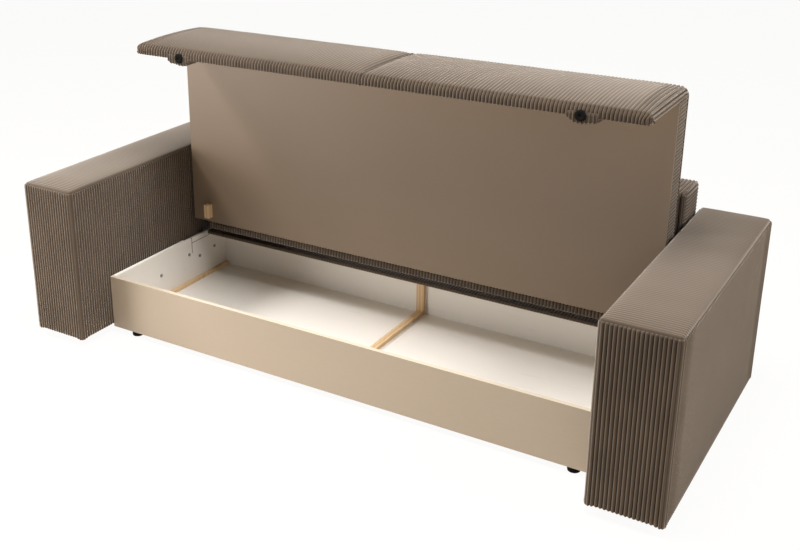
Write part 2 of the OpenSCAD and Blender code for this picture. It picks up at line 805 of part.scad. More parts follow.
mirror([1, 0, 0]) arm_wrap();  // arm_wrap_left
arm_wrap();  // arm_wrap_right
mirror([1, 0, 0]) arm_top();  // arm_top_left
arm_top();  // arm_top_right
mirror([1, 0, 0]) arm_side_boards();  // arm_side_boards_left
arm_side_boards();  // arm_side_boards_right
mirror([1, 0, 0]) arm_end_boards();  // arm_end_boards_left
arm_end_boards();  // arm_end_boards_right
mirror([1, 0, 0]) arm_top_board();  // arm_top_board_left
arm_top_board();  // arm_top_board_right
arm_base_rails();
arm_feet();
box_front_panel();
box_rear_panel();
mirror([1, 0, 0]) box_side_panel();  // box_side_panel_left
box_side_panel();  // box_side_panel_right
box_side_rails();
mirror([1, 0, 0]) box_floor();  // box_floor_left
box_floor();  // box_floor_right
mirror([1, 0, 0]) floor_batten_side();  // floor_batten_left
floor_batten_center();
floor_batten_side();  // floor_batten_right
rear_upright_batten();
rear_shelf_board();
rear_shelf_cover();
box_feet();
box_bolts();
backrest_ribs();
backrest_rails();
backrest_webbing();
mirror([1, 0, 0]) backrest_pad();  // backrest_pad_left
backrest_pad();  // backrest_pad_right
mirror([1, 0, 0]) backrest_top_pad();  // backrest_top_pad_left
backrest_top_pad();  // backrest_top_pad_right
mirror([1, 0, 0]) backrest_end_cover();  // backrest_end_cover_left
backrest_end_cover();  // backrest_end_cover_right
backrest_rear_cover();
backrest_spacers();
mirror([1, 0, 0]) hinge_base_plate();  // hinge_base_plate_left
hinge_base_plate();  // hinge_base_plate_right
hinge_washers();
hinge_pins();
seat_board();
seat_frame_rails();
seat_frame_battens();
seat_corner_blocks();
seat_springs();
seat_end_bands();
seat_rear_band();
raised() mirror([1, 0, 0]) seat_pad();  // seat_pad_left
raised() seat_pad();  // seat_pad_right
seat_seam_band();
apron_board();
raised() mirror([1, 0, 0]) apron_pad();  // apron_pad_left
raised() apron_pad();  // apron_pad_right
apron_foot_blocks();
apron_feet();
seat_under_blocks();
hinge_seat_plates();
hinge_screws();
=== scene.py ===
import json
import math

import bmesh
import bpy
import numpy as np
from mathutils import Matrix, Vector


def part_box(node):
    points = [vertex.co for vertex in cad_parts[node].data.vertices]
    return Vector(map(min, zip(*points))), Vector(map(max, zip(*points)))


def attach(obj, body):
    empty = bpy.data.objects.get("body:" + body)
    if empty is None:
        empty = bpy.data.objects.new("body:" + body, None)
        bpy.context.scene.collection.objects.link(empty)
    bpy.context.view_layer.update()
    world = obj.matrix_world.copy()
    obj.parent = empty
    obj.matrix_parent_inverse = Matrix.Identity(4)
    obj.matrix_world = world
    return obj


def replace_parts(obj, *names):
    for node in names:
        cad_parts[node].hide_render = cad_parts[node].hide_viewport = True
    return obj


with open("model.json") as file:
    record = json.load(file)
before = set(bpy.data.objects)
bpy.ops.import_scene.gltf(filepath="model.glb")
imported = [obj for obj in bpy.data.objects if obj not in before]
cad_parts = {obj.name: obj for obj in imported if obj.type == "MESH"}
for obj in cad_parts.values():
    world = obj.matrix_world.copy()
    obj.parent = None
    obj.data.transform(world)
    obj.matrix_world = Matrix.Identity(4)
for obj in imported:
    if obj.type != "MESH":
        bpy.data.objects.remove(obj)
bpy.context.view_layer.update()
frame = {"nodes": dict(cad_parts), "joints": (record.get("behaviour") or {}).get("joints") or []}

# Camera: in front of the right arm and above it, at the place solved from the corners of the
# arms, the storage box and the raised seat in the photograph.
AZIMUTH, ELEVATION, ROLL = math.radians(32.69), math.radians(19.947), math.radians(-0.572)
CAMERA_PLACE = (1.83281, -3.18147, 1.94207)
SENSOR, LENS = 36, 49.97
SHIFT = (0.0908, -0.0902)
back = np.array((math.sin(AZIMUTH) * math.cos(ELEVATION), -math.cos(AZIMUTH) * math.cos(ELEVATION),
                 math.sin(ELEVATION)))
right = np.array((math.cos(AZIMUTH), math.sin(AZIMUTH), 0.0))
up = np.cross(back, right)
right, up = (math.cos(ROLL) * right + math.sin(ROLL) * up,
             math.cos(ROLL) * up - math.sin(ROLL) * right)
camera = bpy.data.objects.new("camera", bpy.data.cameras.new("camera"))
bpy.context.scene.collection.objects.link(camera)
facing = Matrix([[right[k], up[k], back[k]] for k in range(3)]).to_4x4()
camera.matrix_world = Matrix.Translation(CAMERA_PLACE) @ facing
camera.data.sensor_width = SENSOR
camera.data.lens = LENS
camera.data.shift_x, camera.data.shift_y = SHIFT
bpy.context.scene.camera = camera


# Arm covers: wide rib corduroy sewn as a sleeve and drawn down over the padded boards of each arm.
# Its ribs stand upright on all four faces and turn over the top edge, where the seam is.
# The hem is folded under the arm and stapled there.
RIB = 0.01235          # from one groove of the cloth to the next
RIB_DEPTH = 0.0050     # from the top of a rib to the bottom of a groove, over foam
THIN_DEPTH = 0.0036    # the same where the cloth lies on a bare board
RIB_STEPS = 6          # points across one rib
RIB_SHAPE = 0.7        # under 1 the ribs are broad and the grooves narrow
CLOTH_WALL = 0.0008    # thickness of the sheet


class Socket:
    """An output in a material. Arithmetic on it adds Math nodes, and add() any other node."""

    def __init__(self, tree, out=None):
        self.tree, self.out = tree, out

    def add(self, kind, sockets=(), out=0, **settings):
        node = self.tree.nodes.new("ShaderNode" + kind)
        for key, value in settings.items():
            setattr(node, key, value)
        for key, value in dict(sockets).items():
            if isinstance(value, Socket):
                self.tree.links.new(value.out, node.inputs[key])
            else:
                is_colour = isinstance(value, tuple) and len(node.inputs[key].default_value) == 4
                node.inputs[key].default_value = (*value, 1) if is_colour else value
        return Socket(self.tree, node.outputs[out])

    def math(self, operation, *values):
        return self.add("Math", dict(enumerate(values)), operation=operation)

    def __add__(self, other):
        return self.math("ADD", self, other)

    def __sub__(self, other):
        return self.math("SUBTRACT", self, other)

    def __rsub__(self, other):
        return self.math("SUBTRACT", other, self)

    def __mul__(self, other):
        return self.math("MULTIPLY", self, other)

    def __abs__(self):
        return self.math("ABSOLUTE", self)

    __radd__, __rmul__ = __add__, __mul__

    def between(self, low, high):
        """0 where this is under low, 1 where it is over high, and a smooth step between them."""
        return self.add("MapRange", {0: self, 1: low, 2: high}, interpolation_type="SMOOTHSTEP")

    def blend(self, one, other):
        """The first colour where this is 0, and the second where it is 1."""
        return self.add("Mix", {"Factor": self, 6: one, 7: other}, out=2, data_type="RGBA")

    def places(self, scale=(1, 1, 1), turned=(0, 0, 0)):
        """Object coordinates in metres, stretched and then turned."""
        where = self.add("TexCoord", out=3)
        return self.add("Mapping", {0: where, 2: turned, 3: scale}, vector_type="POINT")

    def place_along(self, axis):
        """The object coordinate along one axis: 0, 1 or 2."""
        return self.add("SeparateXYZ", {0: self.add("TexCoord", out=3)}, out=axis)

    def noise(self, where, scale, detail=2.0):
        return self.add("TexNoise", {"Vector": where, "Scale": scale, "Detail": detail})

    def bump(self, height, strength, distance):
        return self.add("Bump", {"Strength": strength, "Distance": distance, "Height": height})


def new_finish(name):
    """A material, the inputs of its Principled shader, a Socket to add nodes with, and its links."""
    material = bpy.data.materials.new(name)
    material.use_nodes = True
    tree = material.node_tree
    return material, tree.nodes["Principled BSDF"].inputs, Socket(tree), tree.links


def feed(shader, links, **values):
    """Sets or links the shader's sockets; an underscore in a name stands for a space."""
    for key, value in values.items():
        socket = shader[key.replace("_", " ")]
        if isinstance(value, Socket):
            links.new(value.out, socket)
        else:
            socket.default_value = value


def ribbed_cloth(name, pile, shade, crest, pressed):
    """Corduroy that reads the rib count and the length along a rib from the map named ribs.

    The attribute rib_share tells how high the ribs stand; where they are pressed flat they are paler, and
    where they stand the bottoms of their grooves are darkened with painted shade."""
    material, shader, s, links = new_finish(name)
    place = s.add("UVMap", uv_map="ribs")
    count = s.add("SeparateXYZ", {0: place}, out=0)
    along = s.add("SeparateXYZ", {0: place}, out=1)
    stand = s.add("Attribute", attribute_name="rib_share", out=2)
    # 0 on the top of a rib and 1 at the bottom of a groove
    side = abs(s.math("FRACT", count) - 0.5) * 2
    # painted shade: the bottom of each groove is darkened towards a near-black colour where the ribs stand
    painted_shade_mask = side.between(0.62, 1.0)
    # each rib keeps its own nap, which changes slowly along it
    own = s.add("CombineXYZ", {0: s.math("FLOOR", count) * 0.73, 1: along * 5.0})
    nap = s.noise(own, 1.0, 1.0).between(0.3, 0.7)
    cloud = s.noise(s.places(), 6.0).between(0.3, 0.7)
    tuft = s.noise(s.add("CombineXYZ", {0: count * 6.0, 1: along * 400.0}), 1.0)
    body = (nap * 0.3 + cloud * 0.35 + tuft * 0.1).blend(pile, crest)
    body = (1.0 - stand).blend(body, pressed)
    feed(shader, links,
         Base_Color=(painted_shade_mask * stand).blend(body, shade),
         Roughness=0.8 + tuft * 0.18,
         Sheen_Weight=0.85, Sheen_Roughness=0.40, Sheen_Tint=(1.0, 0.92, 0.84, 1),
         Specular_IOR_Level=0.1,
         Normal=s.bump(tuft, 0.1, 0.0005))
    return material


# the near-black colour is the painted shade for the bottoms of the grooves
cloth = ribbed_cloth("ribbed_cloth", pile=(0.056, 0.0395, 0.0270), shade=(0.005, 0.0032, 0.0022),
                     crest=(0.102, 0.074, 0.053), pressed=(0.089, 0.068, 0.051))


def rounded(corners, radii, step, turns=8):
    """Points of a line through corners, each rounded, and no more than step apart where straight."""
    corners = [np.array(c, float) for c in corners]
    line = [corners[0]]
    for before, corner, after, r in zip(corners, corners[1:], corners[2:], radii):
        a = (before - corner) / np.linalg.norm(before - corner)
        b = (after - corner) / np.linalg.norm(after - corner)
        half = math.acos(float(np.clip(a @ b, -1, 1))) / 2
        centre = corner + (a + b) / np.linalg.norm(a + b) * r / math.sin(half)
        start = corner + a * r / math.tan(half) - centre
        end = corner + b * r / math.tan(half) - centre
        sweep = math.pi - 2 * half
        for k in range(turns + 1):
            t = k / turns
            arm = start * math.sin((1 - t) * sweep) + end * math.sin(t * sweep)
            line.append(centre + arm / math.sin(sweep))
    line.append(corners[-1])
    points = [line[0]]
    for a, b in zip(line, line[1:]):
        n = max(1, math.ceil(np.linalg.norm(b - a) / step))
        points += [a + (b - a) * k / n for k in range(1, n + 1)]
    return np.array(points)


def lengths(points):
    """Distance along a line to each of its points."""
    return np.concatenate(([0], np.cumsum(np.linalg.norm(np.diff(points, axis=0), axis=1))))


def evenly(points, count):
    """The same line with count points at even distances."""
    run = lengths(points)
    at = np.linspace(0, run[-1], count)
    return np.stack([np.interp(at, run, points[:, k]) for k in range(points.shape[1])], axis=1)


def ribs_across(width):
    """Number of points across a cut of cloth of that width, with whole ribs."""
    return max(1, round(width / RIB)) * RIB_STEPS + 1


def across_whole_ribs(line):
    """The same line with its points at even shares of whole ribs."""
    return evenly(line, ribs_across(lengths(line)[-1]))


def left_of(line, *run):
    """Unit vectors to the left of a line at its points, whose distances along it may be given."""
    slope = np.gradient(line, *run, axis=0)
    slope /= np.linalg.norm(slope, axis=1, keepdims=True)
    return np.stack((-slope[:, 1], slope[:, 0]), axis=1)


def share(value):
    """A value held between 0 and 1."""
    return np.clip(value, 0, 1)


def dome(place, power):
    """1 in the middle of a width and 0 at its ends, where place is 0 and 1; flatter for a high power."""
    return 1 - np.abs(2 * place - 1) ** power


def unevenness(places, size, seed):
    """A soft random swell over a surface, from about -size to size."""
    draw = np.random.default_rng(seed)
    swell = np.zeros(places.shape[:-1])
    for k in range(7):
        wave = draw.normal(size=3) * (5 + 4 * k)
        swell += np.sin(places @ wave + draw.uniform(0, 6.28)) / (1 + k)
    return swell * size / 2.2


def lay_cloth(name, base, body, relief=1.0, mirrored=False, sleeve=False, depth=RIB_DEPTH, start=0.0):
    """Lays a cut of ribbed cloth over base, an array of rows along the ribs and columns across them.

    Relief is the share of the rib depth at each point, and also how much painted shade its grooves
    take. The cut starts at a share of a rib, and is sewn to itself into a sleeve where that is asked."""
    base = np.array(base, float)
    if mirrored:
        base[..., 0] *= -1
    rows, columns = base.shape[:2]
    ringed = np.concatenate((base[:, -2:-1], base, base[:, 1:2]), axis=1) if sleeve else base
    across = np.gradient(ringed, axis=1)
    across = across[:, 1:-1] if sleeve else across
    out = np.cross(across, np.gradient(base, axis=0)) * (-1 if mirrored else 1)
    out /= np.maximum(np.linalg.norm(out, axis=2, keepdims=True), 1e-9)
    profile = 1 - np.abs(np.sin(np.pi * (np.arange(columns) / RIB_STEPS + start))) ** RIB_SHAPE
    relief = np.broadcast_to(relief, (rows, columns))
    points = base - out * (depth * profile * relief)[..., None]
    mesh = bmesh.new()
    rib_share = mesh.verts.layers.float.new("rib_share")
    ribs = mesh.loops.layers.uv.new("ribs")
    flat = bmesh.ops.create_grid(mesh, x_segments=columns - 1, y_segments=rows - 1, size=1,
                                 calc_uvs=True)["verts"]
    for vertex, point, stands in zip(flat, points.reshape(-1, 3), relief.ravel()):
        vertex.co, vertex[rib_share] = point, stands
    size = np.array(((columns - 1) / RIB_STEPS, lengths(base[:, columns // 2])[-1]))
    for face in mesh.faces:
        face.smooth = True
        for loop in face.loops:
            loop[ribs].uv = loop[ribs].uv.x * size[0] + start, loop[ribs].uv.y * size[1]
    if mirrored:
        bmesh.ops.reverse_faces(mesh, faces=mesh.faces)
    if sleeve:
        bmesh.ops.remove_doubles(mesh, verts=mesh.verts, dist=1e-6)
    return finished(name, mesh, cloth, body, wall=CLOTH_WALL)


def finished(name, mesh, finish, body, wall=0):
    """The piece of that mesh, with its finish, on the body that it moves with."""
    data = bpy.data.meshes.new(name)
    mesh.to_mesh(data)
    mesh.free()
    data.materials.append(finish)
    piece = bpy.data.objects.new(name, data)
    bpy.context.scene.collection.objects.link(piece)
    if wall:
        shell = piece.modifiers.new("cloth wall", "SOLIDIFY")
        shell.thickness, shell.offset = wall, -1
    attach(piece, body)
    return piece


SIDES = (("right", False), ("left", True))
EDGE_R = 0.018                          # of the four upright edges
PROUD_SIDE, PROUD_END = 0.006, 0.002    # how far the padding stands out past the boards' plain size
wrap_low, wrap_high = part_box("arm_wrap_right")
wrap_high.x += PROUD_SIDE
wrap_low.y -= PROUD_END
wrap_high.y += PROUD_END
arm_bottom, arm_top = wrap_low.z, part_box("arm_top_right")[1].z
# the outline of an arm, from the middle of one round edge back to it
ring = []
for k, (x, y) in enumerate(((wrap_low.x, wrap_low.y), (wrap_high.x, wrap_low.y),
                            (wrap_high.x, wrap_high.y), (wrap_low.x, wrap_high.y),
                            (wrap_low.x, wrap_low.y))):
    centre_x = x + (EDGE_R if x == wrap_low.x else -EDGE_R)
    centre_y = y + (EDGE_R if y == wrap_low.y else -EDGE_R)
    first, last = 180 + 90 * k + 45 * (k == 0), 270 + 90 * k - 45 * (k == 4)
    for angle in np.radians(np.arange(first, last + 1, 5)):
        ring.append((centre_x + EDGE_R * math.cos(angle), centre_y + EDGE_R * math.sin(angle)))
ring = np.array(ring)
# the same with whole ribs on each side, so that a rib stands on each edge
ring_run, reach, arm_outline = lengths(ring), 0, []
for side_length in (wrap_high.x - wrap_low.x, wrap_high.y - wrap_low.y) * 2:
    begin, reach = reach, reach + side_length - 2 * EDGE_R + EDGE_R * math.pi / 2
    at = np.linspace(begin, reach, round(side_length / RIB) * RIB_STEPS + 1)[1 if begin else 0:]
    arm_outline.append(np.stack([np.interp(at, ring_run, ring[:, k]) for k in (0, 1)], axis=1))
arm_outline = np.concatenate(arm_outline)
outward = -left_of(np.concatenate((arm_outline[-2:-1], arm_outline, arm_outline[1:2])))[1:-1]
# rows of the hem over the bottom and of the seam under the top of an arm: height over the one or
# depth under the other, distance in from the face, share of the rib depth
HEM_ROWS = ((0.012, 0.0125, 0.0), (0.002, 0.0120, 0.3), (0.0, 0.0085, 0.7), (0.001, 0.0030, 1.0),
            (0.006, 0.0004, 1.0))
SEAM_ROWS = ((0.0160, 0.0, 1.0), (0.0115, 0.0005, 1.0), (0.0088, 0.0016, 1.0), (0.0074, 0.0034, 1.0),
             (0.0074, 0.0056, 1.0), (0.0088, 0.0095, 1.0), (0.0130, 0.0115, 0.5))
sleeve_rows = np.array([(arm_bottom + rise, inset, stands) for rise, inset, stands in HEM_ROWS]
                       + [(z, 0.0, 1.0) for z in np.linspace(arm_bottom + 0.03, arm_top - 0.024, 12)]
                       + [(arm_top - drop, inset, stands) for drop, inset, stands in SEAM_ROWS])
corner_far = np.min([np.hypot(arm_outline[:, 0] - x, arm_outline[:, 1] - y)
                     for x in (wrap_low.x, wrap_high.x) for y in (wrap_low.y, wrap_high.y)], axis=0)
sleeve = np.zeros((len(sleeve_rows), len(arm_outline), 3))
sleeve[..., :2] = arm_outline - outward * sleeve_rows[:, 1, None, None]
sleeve[..., 2] = sleeve_rows[:, :1]
# the hem hangs lowest at the corners
sleeve[:len(HEM_ROWS), :, 2] += 0.004 * share((corner_far - 0.02) / 0.015)
faces = sleeve[len(HEM_ROWS):-len(SEAM_ROWS)]
faces[..., :2] += outward[None] * (unevenness(faces, 0.0012, 4) - 0.0004)[..., None]
# the ribs are worn low at the edges, and the cloth is drawn tighter over the outer face of each arm
worn = 1 - 0.55 * share((0.020 - corner_far) / 0.010)
tight = share((arm_outline[:, 0] - wrap_high.x + 0.004) / 0.003) * share((corner_far - 0.045) / 0.06)
worn *= 1 - 0.5 * tight
for side, mirrored in SIDES:
    piece = lay_cloth(f"arm_cover_{side}", sleeve, "base", sleeve_rows[:, 2:] * worn,
                      mirrored=mirrored, sleeve=True, start=0.5)
    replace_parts(piece, f"arm_wrap_{side}")


# Arm top panels: one cut of the same cloth over a sheet of foam on each arm, with its ribs across
# the arm, sewn into the upper edge of the sleeve all round.
SEAM_IN, SEAM_DOWN, ROLL_R = 0.0055, 0.0175, 0.0095
FOAM_CROWN = 0.0030


def panel_line(low, high, step):
    """A line across the panel that is turned down to the seam at both ends."""
    low, high = low + SEAM_IN, high - SEAM_IN
    return rounded([(low, -SEAM_DOWN), (low, 0), (high, 0), (high, -SEAM_DOWN)], [ROLL_R, ROLL_R], step, 6)


panel_x = panel_line(wrap_low.x, wrap_high.x, 0.018)
panel_y = across_whole_ribs(panel_line(wrap_low.y, wrap_high.y, 0.01))
panel = np.zeros((len(panel_x), len(panel_y), 3))
panel[..., 0] = panel_x[:, None, 0]
panel[..., 1] = panel_y[None, :, 0]
panel[..., 2] = arm_top + np.minimum(panel_x[:, None, 1], panel_y[None, :, 1])
# a square corner of the cut is drawn in to the round corner of the sleeve
core = np.array(((wrap_low.x + wrap_high.x) / 2, (wrap_low.y + wrap_high.y) / 2))
half = np.array((wrap_high.x, wrap_high.y)) - core - EDGE_R
from_core = panel[..., :2] - core
over = np.maximum(np.abs(from_core) - half, 0)
shrink = np.max(over, axis=2) / np.maximum(np.hypot(over[..., 0], over[..., 1]), 1e-9)
shrink = np.where(np.min(over, axis=2) > 0, shrink, 1)[..., None]
panel[..., :2] = core + np.sign(from_core) * (np.minimum(np.abs(from_core), half) + over * shrink)
middle = dome((panel[..., 0] - wrap_low.x) / (wrap_high.x - wrap_low.x), 4) * (
    1 - np.abs(2 * panel[..., 1] / (wrap_high.y - wrap_low.y)) ** 16)
panel[..., 2] += FOAM_CROWN * middle + unevenness(panel, 0.0008, 9) * middle
# hands have pressed the ribs nearly flat, less so at the front end
flat = 0.06 + 0.24 * share(1 - (panel[..., 1] - wrap_low.y) / 0.14)
panel, flat = np.flip(panel, axis=0), np.flip(flat, axis=0)
for side, mirrored in SIDES:
    piece = lay_cloth(f"arm_top_panel_{side}", panel, "base", flat, mirrored=mirrored)
    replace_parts(piece, f"arm_top_{side}")


# Seat cushions: the left and the right half of the seat, foam on the springs under one cut of
# cloth that runs from the rear edge over the seat, rolls over the front and covers the apron.
# The ribs run front to rear; three of them turn round the end of the apron.
PIVOT_Y, PIVOT_Z = frame["joints"][0]["pos_m"][1:]
APRON_T = 0.034                         # from its outer face to the board behind
SEAT_CROWN, APRON_CROWN = 0.013, 0.015
CUSHION_R, TIP_R = 0.034, 0.016         # of the front and rear rolls, and of the apron's lower corner
END_WRAP, END_R = 0.034, 0.017          # how far the cloth turns round an end, and its edge
SEAM_X = 0.0050                         # of the edge at the middle seam


def raised(points):
    """Turns places drawn with the seat down into the raised seat of the photograph."""
    points = np.array(points, float)
    y, z = points[..., 1].copy(), points[..., 2].copy()
    points[..., 1], points[..., 2] = PIVOT_Y + z - PIVOT_Z, PIVOT_Z - y + PIVOT_Y
    return points


def down_y(z):
    """Where a height on the raised seat lies from front to rear with the seat down."""
    return PIVOT_Y + PIVOT_Z - z


def down_z(y):
    """The height with the seat down of a place that the raised seat has from front to rear."""
    return PIVOT_Z + y - PIVOT_Y


pad_low, pad_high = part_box("seat_pad_right")
seat_rear, seat_front = down_y(pad_low.z), down_y(pad_high.z)
pad_z, edge_z = down_z(pad_low.y), down_z(pad_high.y) - SEAT_CROWN
apron_z = down_z(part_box("apron_pad_right")[0].y)
apron_in = seat_front + APRON_T
END_X = pad_high.x
fold_y, fold_z = apron_in + 0.0045, apron_z - 0.002
cushion_path = rounded([(fold_y, fold_z + 0.024), (fold_y, fold_z), (seat_front, fold_z),
                        (seat_front, edge_z), (seat_rear, edge_z), (seat_rear, pad_z)],
                       [0.007, 0.022, CUSHION_R, CUSHION_R], 0.022)
run = lengths(cushion_path)
normal = left_of(cushion_path, run)
cut = rounded([(SEAM_X, -0.016), (SEAM_X, 0), (END_X, 0), (END_X, -END_WRAP)], [0.008, END_R], 0.004)
cut = across_whole_ribs(cut)
y, z = cushion_path[:, 0], cushion_path[:, 1]
at_end = cut[:, 0] > END_X / 2
# how far the cloth turns round the end: it is pinched towards the lower edge of the apron, and
# short along the seat, where the end cover takes over
seat_part = z > edge_z - 0.1
on_apron = share(1 - (y - seat_front - 0.002) / 0.030)
turn = (share(-normal[:, 0]) ** 2 * np.clip(2.2 * (z - fold_z) + 0.004, 0, END_WRAP)
        + share(-normal[:, 1]) ** 2 * np.clip(y - seat_front, 0.001, 0.016)
        + share(normal[:, 0]) ** 2 * np.clip(0.9 * (z - fold_z), 0.001, 0.010))
turn = np.where(seat_part, (on_apron + (1 - on_apron) * 0.38) * END_WRAP, turn)
# which way it turns: to the rear on the apron, and down along the seat
turn_way = on_apron[:, None] * (1.0, 0.0) - (1 - on_apron[:, None]) * normal
turn_way = np.where(seat_part[:, None], turn_way, -normal)
turn_way /= np.linalg.norm(turn_way, axis=1, keepdims=True)
turn_way = np.where(at_end[None, :, None], (turn_way * turn[:, None] / END_WRAP)[:, None],
                    -normal[:, None])
across = (cut[:, 0] - SEAM_X) / (END_X - SEAM_X)
wide = dome(across, 6)
over_seat = dome(share((y - seat_front) / (seat_rear - seat_front)), 4)
over_seat = np.where(z > edge_z - 0.03, over_seat, 0)
over_apron = share(dome((z - fold_z) / (edge_z - fold_z), 2.2)) * (y < seat_front + 0.002)
swell = SEAT_CROWN * over_seat[:, None] * wide + APRON_CROWN * over_apron[:, None] * dome(across, 24)
cushion = np.zeros((len(y), len(cut), 3))
cushion[..., 1:] = (cushion_path[:, None] + normal[:, None] * swell[..., None]
                    - turn_way * cut[None, :, 1, None])
# the lower corner of the apron is round as seen from the front
tip = np.clip(TIP_R - cushion[..., 2] + fold_z, 0, TIP_R)
tip = (TIP_R - np.sqrt(TIP_R ** 2 - tip ** 2)) * (z < edge_z - 0.1)[:, None]
cushion[..., 0] = cut[:, 0] - tip * share((cut[:, 0] - END_X + 0.06) / 0.06) ** 2
still = share(np.minimum(run, run[-1] - run) / 0.08)[:, None] * wide[None]
cushion[..., 1:] += normal[:, None] * (unevenness(cushion, 0.0012, 21) * still)[..., None]
# the ribs sink into the middle seam, into the pinched ends of the turn and into the fold
relief = np.where(at_end, 1, np.clip(1.2 + cut[:, 1] / 0.012, 0.2, 1))[None] * np.ones((len(y), 1))
pinched = np.clip(turn / 0.02, 0.1, 1)[:, None]
relief *= np.where(at_end[None] & (cut[None, :, 1] < -0.004), pinched, 1)
meeting = 4 * on_apron * (1 - on_apron) * seat_part
relief *= 1 - meeting[:, None] * share((-cut[None, :, 1] - 0.012) / 0.008)
relief *= np.clip((run - 0.008) / 0.02, 0.35, 1)[:, None]
# the outer face of the apron is smoothed by the hands that lift it
relief *= 1 - 0.70 * (over_apron ** 0.5)[:, None] * share(1 - 3 * (across - 0.93) / 0.07)
for side, mirrored in SIDES:
    piece = lay_cloth(f"seat_cushion_{side}", raised(cushion), "seat", relief, mirrored=mirrored)
    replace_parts(piece, f"seat_pad_{side}", f"apron_pad_{side}")
# at each end the last rib is rolled up into the apron's lower end, as a plug the shape of an egg
PLUG_R, PLUG_SHAPE = 0.011, (0.9, 1.2, 1.5)
mesh = bmesh.new()
rib_share = mesh.verts.layers.float.new("rib_share")
for x in (0.010 - END_X, END_X - 0.010):
    made = bmesh.ops.create_uvsphere(mesh, u_segments=24, v_segments=12, radius=PLUG_R)["verts"]
    bmesh.ops.scale(mesh, verts=made, vec=PLUG_SHAPE)
    bmesh.ops.translate(mesh, verts=made, vec=(x, seat_front + 0.025, fold_z + 0.025))
# painted shade: the plugs have no rib map, so they read as groove bottoms, and a rib_share of 0.5 darkens
# them all over by half the painted groove shade
for vertex in mesh.verts:
    vertex.co, vertex[rib_share] = raised(vertex.co), 0.5
for face in mesh.faces:
    face.smooth = True
bmesh.ops.recalc_face_normals(mesh, faces=mesh.faces)
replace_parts(finished("apron_end_rolls", mesh, cloth, "seat"), "apron_pad_left", "apron_pad_right")


# Seat seam: the two cushion covers meet at a cord in a strip of the same cloth, a raised welt that
# runs from the lower edge of the apron over the front roll to the rear of the seat.
WELT_W, WELT_H, WELT_DEEP = 0.0100, 0.0022, 0.012
welt_r = WELT_W / 2 - 0.0006
welt = evenly(rounded([(-WELT_W / 2, -WELT_DEEP), (-WELT_W / 2, WELT_H), (WELT_W / 2, WELT_H),
                       (WELT_W / 2, -WELT_DEEP)], [welt_r, welt_r], 0.004, 6), 15)
seam = np.zeros((len(y), len(welt), 3))
seam[..., 0] = welt[None, :, 0]
# the welt stands prouder along the lower edge of the apron
ridge = 0.0022 * ((z < fold_z + 0.02) & (y < apron_in - 0.004))
seam[..., 1:] = cushion_path[:, None] + normal[:, None] * (welt[None, :, 1] + ridge[:, None])[..., None]
piece = lay_cloth("seat_seam", raised(seam), "seat", relief=0.5, start=1 / 3)
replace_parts(piece, "seat_seam_band")


# Seat end covers: a strip of cloth stapled along each end of the seat frame, its ribs across the
# strip, tucked under the edge of the cushion above and under the seat board below.
band_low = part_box("seat_end_bands")[0]
frame_z, notch_y = down_z(band_low.y), down_y(band_low.z)
strip_rear = seat_rear - 0.004
strip_y = np.linspace(apron_in, strip_rear, ribs_across(strip_rear - apron_in))
strip_low = np.where(strip_y < notch_y, frame_z - 0.001, pad_z + 0.001)
# the upper edge follows the rear roll of the cushion
corner = np.clip(strip_y - (seat_rear - CUSHION_R), 0, None)
strip_high = edge_z - CUSHION_R + np.sqrt(np.maximum((CUSHION_R - 0.0075) ** 2 - corner ** 2, 0))
strip_high = np.maximum(strip_high, strip_low + 0.002)
# share of the height, distance out from the end, share of the rib depth
strip_rows = np.array(((0.0, -0.014, 0.2), (0.0, -0.004, 0.6), (0.04, -0.0008, 0.9), (0.12, 0, 1),
                       (0.35, 0, 1), (0.6, 0, 1), (0.85, -0.0002, 1), (0.95, -0.0012, 0.9),
                       (1.0, -0.004, 0.5)))
strip = np.zeros((len(strip_rows), len(strip_y), 3))
strip[..., 0] = END_X + strip_rows[:, 1:2]
strip[..., 1] = strip_y
strip[..., 2] = strip_low + (strip_high - strip_low) * strip_rows[:, :1]
for side, mirrored in SIDES:
    piece = lay_cloth(f"seat_end_cover_{side}", raised(strip), "seat", strip_rows[:, 2:],
                      mirrored=mirrored, depth=THIN_DEPTH)
    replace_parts(piece, "seat_end_bands")


# Seat rear cover: the same cloth over the rear end of the frame, folded onto its underside, and
# stepped round the notch at each corner.
NOTCH_X = END_X - 0.075
FOLD_WIDE, FOLD_NARROW = 0.030, 0.012   # onto the underside, between the notches and at them
strap_y = seat_rear + 0.004
strap_path = across_whole_ribs(rounded([(0.0, strap_y), (NOTCH_X, strap_y), (NOTCH_X, notch_y),
                                        (END_X - 0.003, notch_y)], [0.006, 0.004], 0.01, 6))
board_z = down_z(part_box("seat_board")[0].y)
fold_in = np.where(strap_path[:, 0] < NOTCH_X - 0.012, FOLD_WIDE, FOLD_NARROW)
# height, share of the fold, share of the rib depth
strap_rows = np.array(((board_z + 0.0005, 1.0, 1), (board_z + 0.0002, 0.6, 1), (board_z, 0.3, 1),
                       (board_z + 0.0015, 0.08, 1), (board_z + 0.006, 0.0, 1), (board_z + 0.024, 0.0, 1),
                       (pad_z - 0.001, 0.0, 1), (pad_z + 0.003, 0.1, 0.4)))
strap = np.zeros((len(strap_rows), len(strap_path), 3))
strap[..., :2] = strap_path - left_of(strap_path) * (fold_in * strap_rows[:, 1:2])[..., None]
strap[..., 2] = strap_rows[:, :1]
both = np.concatenate((np.flip(strap, axis=1)[:, :-1] * (-1, 1, 1), strap), axis=1)
piece = lay_cloth("seat_rear_cover", raised(np.flip(both, axis=1)), "seat", strap_rows[:, 2:],
                  depth=THIN_DEPTH)
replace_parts(piece, "seat_rear_band")


